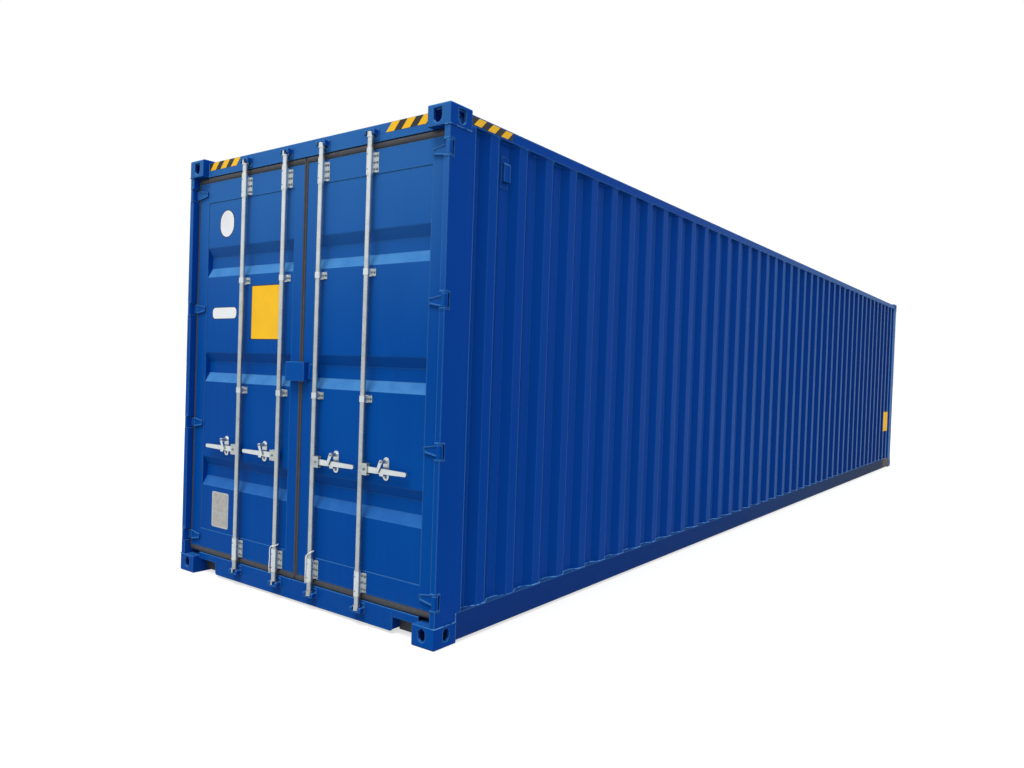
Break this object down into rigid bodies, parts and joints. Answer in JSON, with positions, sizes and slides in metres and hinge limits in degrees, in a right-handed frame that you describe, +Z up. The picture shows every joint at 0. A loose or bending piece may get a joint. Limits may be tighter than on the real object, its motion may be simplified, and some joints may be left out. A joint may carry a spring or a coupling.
{
  "type": "shipping container",
  "caption": "Steel high-cube freight container with corrugated walls, a plywood floor and double rear doors that cam locking bars and lift handles hold shut.",
  "frame": {"origin": "on the ground under the middle of the container", "axes": "+X along the container from the doors to the front wall, +Y to the left of someone who faces the doors, +Z up"},
  "size_m": [12.192, 2.438, 2.896],
  "materials": {
    "blue_paint": "satin",
    "galvanised_steel": "matt zinc",
    "door_rubber": "matt",
    "plywood": "worn",
    "base_paint": "matt",
    "white_rope": "braided"
  },
  "bodies": {
    "container_body": {"bottom_corner_castings": "blue_paint", "top_corner_castings": "blue_paint", "rear_corner_posts": "blue_paint", "front_corner_posts": "blue_paint", "door_header": "blue_paint", "front_header": "blue_paint", "door_sill": "blue_paint", "front_sill": "blue_paint", "bottom_side_rails": "blue_paint", "top_side_rails": "blue_paint", "right_side_wall": "blue_paint", "left_side_wall": "blue_paint", "front_wall": "blue_paint", "roof_panel": "blue_paint", "floor_boards": "plywood", "cross_members": "base_paint", "gooseneck_tunnel": "base_paint", "ventilators": "blue_paint", "cam_keepers": "blue_paint"},
    "right_door": {"right_door_frame": "blue_paint", "right_door_panel": "blue_paint", "right_door_seal": "door_rubber", "right_door_hinges": "blue_paint", "right_door_brackets": "galvanised_steel", "right_tie_rope": "white_rope", "lock_box": "blue_paint"},
    "left_door": {"left_door_frame": "blue_paint", "left_door_panel": "blue_paint", "left_door_seal": "door_rubber", "left_door_hinges": "blue_paint", "left_door_brackets": "galvanised_steel", "left_tie_rope": "white_rope", "left_lock_lug": "blue_paint"},
    "right_inner_bar": {"right_inner_bar": "galvanised_steel"},
    "right_inner_handle": {"right_inner_handle": "galvanised_steel"},
    "right_inner_catch": {"right_inner_catch": "galvanised_steel"},
    "right_outer_bar": {"right_outer_bar": "galvanised_steel"},
    "right_outer_handle": {"right_outer_handle": "galvanised_steel"},
    "right_outer_catch": {"right_outer_catch": "galvanised_steel"},
    "left_inner_bar": {"left_inner_bar": "galvanised_steel"},
    "left_inner_handle": {"left_inner_handle": "galvanised_steel"},
    "left_inner_catch": {"left_inner_catch": "galvanised_steel"},
    "left_outer_bar": {"left_outer_bar": "galvanised_steel"},
    "left_outer_handle": {"left_outer_handle": "galvanised_steel"},
    "left_outer_catch": {"left_outer_catch": "galvanised_steel"}
  },
  "joints": [
    {"name": "right_door_hinge", "type": "hinge", "parent": "container_body", "child": "right_door", "pos_m": [-6.076, -1.199, 1.4], "axis": [0, 0, 1], "range_deg": [0, 265]},
    {"name": "right_inner_bar_turn", "type": "hinge", "parent": "right_door", "child": "right_inner_bar", "pos_m": [-6.073, -0.174, 1.4], "axis": [0, 0, 1], "range_deg": [-100, 0]},
    {"name": "right_inner_handle_lift", "type": "hinge", "parent": "right_inner_bar", "child": "right_inner_handle", "pos_m": [-6.073, -0.212, 0.908], "axis": [1, 0, 0], "range_deg": [-8, 0]},
    {"name": "right_inner_catch_swing", "type": "hinge", "parent": "right_door", "child": "right_inner_catch", "pos_m": [-6.086, -0.348, 0.9615], "axis": [-1, 0, 0], "range_deg": [-90, 0]},
    {"name": "right_outer_bar_turn", "type": "hinge", "parent": "right_door", "child": "right_outer_bar", "pos_m": [-6.073, -0.597, 1.4], "axis": [0, 0, 1], "range_deg": [-100, 0]},
    {"name": "right_outer_handle_lift", "type": "hinge", "parent": "right_outer_bar", "child": "right_outer_handle", "pos_m": [-6.073, -0.635, 0.908], "axis": [1, 0, 0], "range_deg": [-8, 0]},
    {"name": "right_outer_catch_swing", "type": "hinge", "parent": "right_door", "child": "right_outer_catch", "pos_m": [-6.086, -0.771, 0.9615], "axis": [-1, 0, 0], "range_deg": [-90, 0]},
    {"name": "left_door_hinge", "type": "hinge", "parent": "container_body", "child": "left_door", "pos_m": [-6.076, 1.199, 1.4], "axis": [0, 0, -1], "range_deg": [0, 265]},
    {"name": "left_inner_bar_turn", "type": "hinge", "parent": "left_door", "child": "left_inner_bar", "pos_m": [-6.073, 0.174, 1.4], "axis": [0, 0, -1], "range_deg": [-100, 0]},
    {"name": "left_inner_handle_lift", "type": "hinge", "parent": "left_inner_bar", "child": "left_inner_handle", "pos_m": [-6.073, 0.212, 0.908], "axis": [-1, 0, 0], "range_deg": [-8, 0]},
    {"name": "left_inner_catch_swing", "type": "hinge", "parent": "left_door", "child": "left_inner_catch", "pos_m": [-6.086, 0.348, 0.9615], "axis": [1, 0, 0], "range_deg": [-90, 0]},
    {"name": "left_outer_bar_turn", "type": "hinge", "parent": "left_door", "child": "left_outer_bar", "pos_m": [-6.073, 0.597, 1.4], "axis": [0, 0, -1], "range_deg": [-100, 0]},
    {"name": "left_outer_handle_lift", "type": "hinge", "parent": "left_outer_bar", "child": "left_outer_handle", "pos_m": [-6.073, 0.635, 0.908], "axis": [-1, 0, 0], "range_deg": [-8, 0]},
    {"name": "left_outer_catch_swing", "type": "hinge", "parent": "left_door", "child": "left_outer_catch", "pos_m": [-6.086, 0.771, 0.9615], "axis": [1, 0, 0], "range_deg": [-90, 0]}
  ]
}
